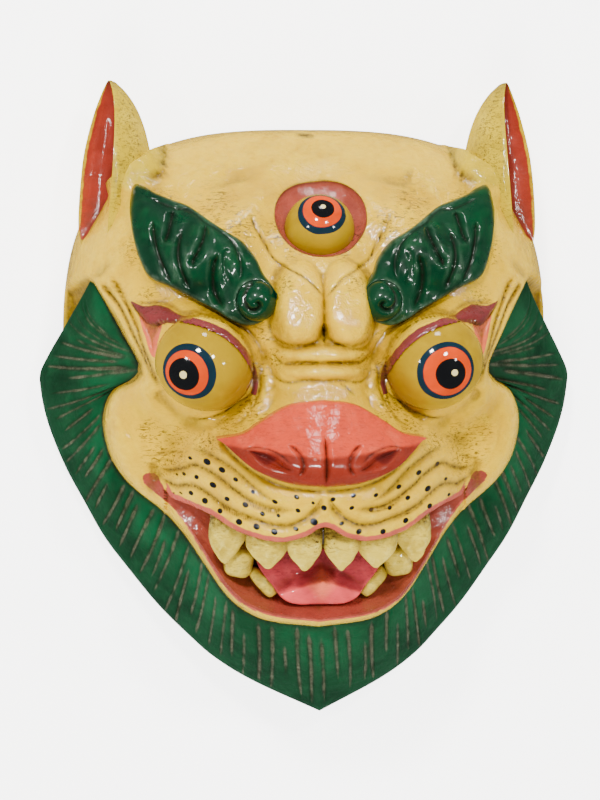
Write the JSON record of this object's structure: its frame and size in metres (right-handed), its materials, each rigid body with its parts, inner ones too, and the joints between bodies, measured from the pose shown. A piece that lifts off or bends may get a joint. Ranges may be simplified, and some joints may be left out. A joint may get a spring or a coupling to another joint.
{
  "type": "snow lion dance mask",
  "caption": "Carved wooden lion mask with bulging eyes, flame brows, pointed ears, an open toothed mouth and a grooved ruff, hollow at the back for a face.",
  "frame": {"origin": "on the surface that the back rim rests on, under the middle of the mask's box", "axes": "+Z is the way the face looks, +Y is towards the ears and the top of the head, +X is to the right of someone looking at the face"},
  "size_m": [0.3206, 0.38, 0.1792],
  "materials": {
    "cream_enamel": "gloss enamel",
    "green_enamel": "gloss enamel",
    "eye_enamel": "gloss enamel",
    "nose_enamel": "gloss enamel",
    "tongue_enamel": "gloss enamel",
    "ivory_enamel": "gloss enamel"
  },
  "bodies": {
    "root": {"head_shell": "cream_enamel", "mane_ruff": "green_enamel", "ear_left": "cream_enamel", "ear_right": "cream_enamel", "eyebrow_left": "green_enamel", "eyebrow_right": "green_enamel", "eyeball_left": "eye_enamel", "eyeball_right": "eye_enamel", "eyeball_third": "eye_enamel", "nose": "nose_enamel", "tongue": "tongue_enamel", "upper_tooth_inner_left": "ivory_enamel", "upper_tooth_inner_right": "ivory_enamel", "upper_tooth_middle_left": "ivory_enamel", "upper_tooth_middle_right": "ivory_enamel", "upper_tooth_fang_left": "ivory_enamel", "upper_tooth_fang_right": "ivory_enamel", "lower_tooth_molar_left": "ivory_enamel", "lower_tooth_molar_right": "ivory_enamel", "lower_tooth_side_left": "ivory_enamel", "lower_tooth_side_right": "ivory_enamel"}
  },
  "joints": []
}
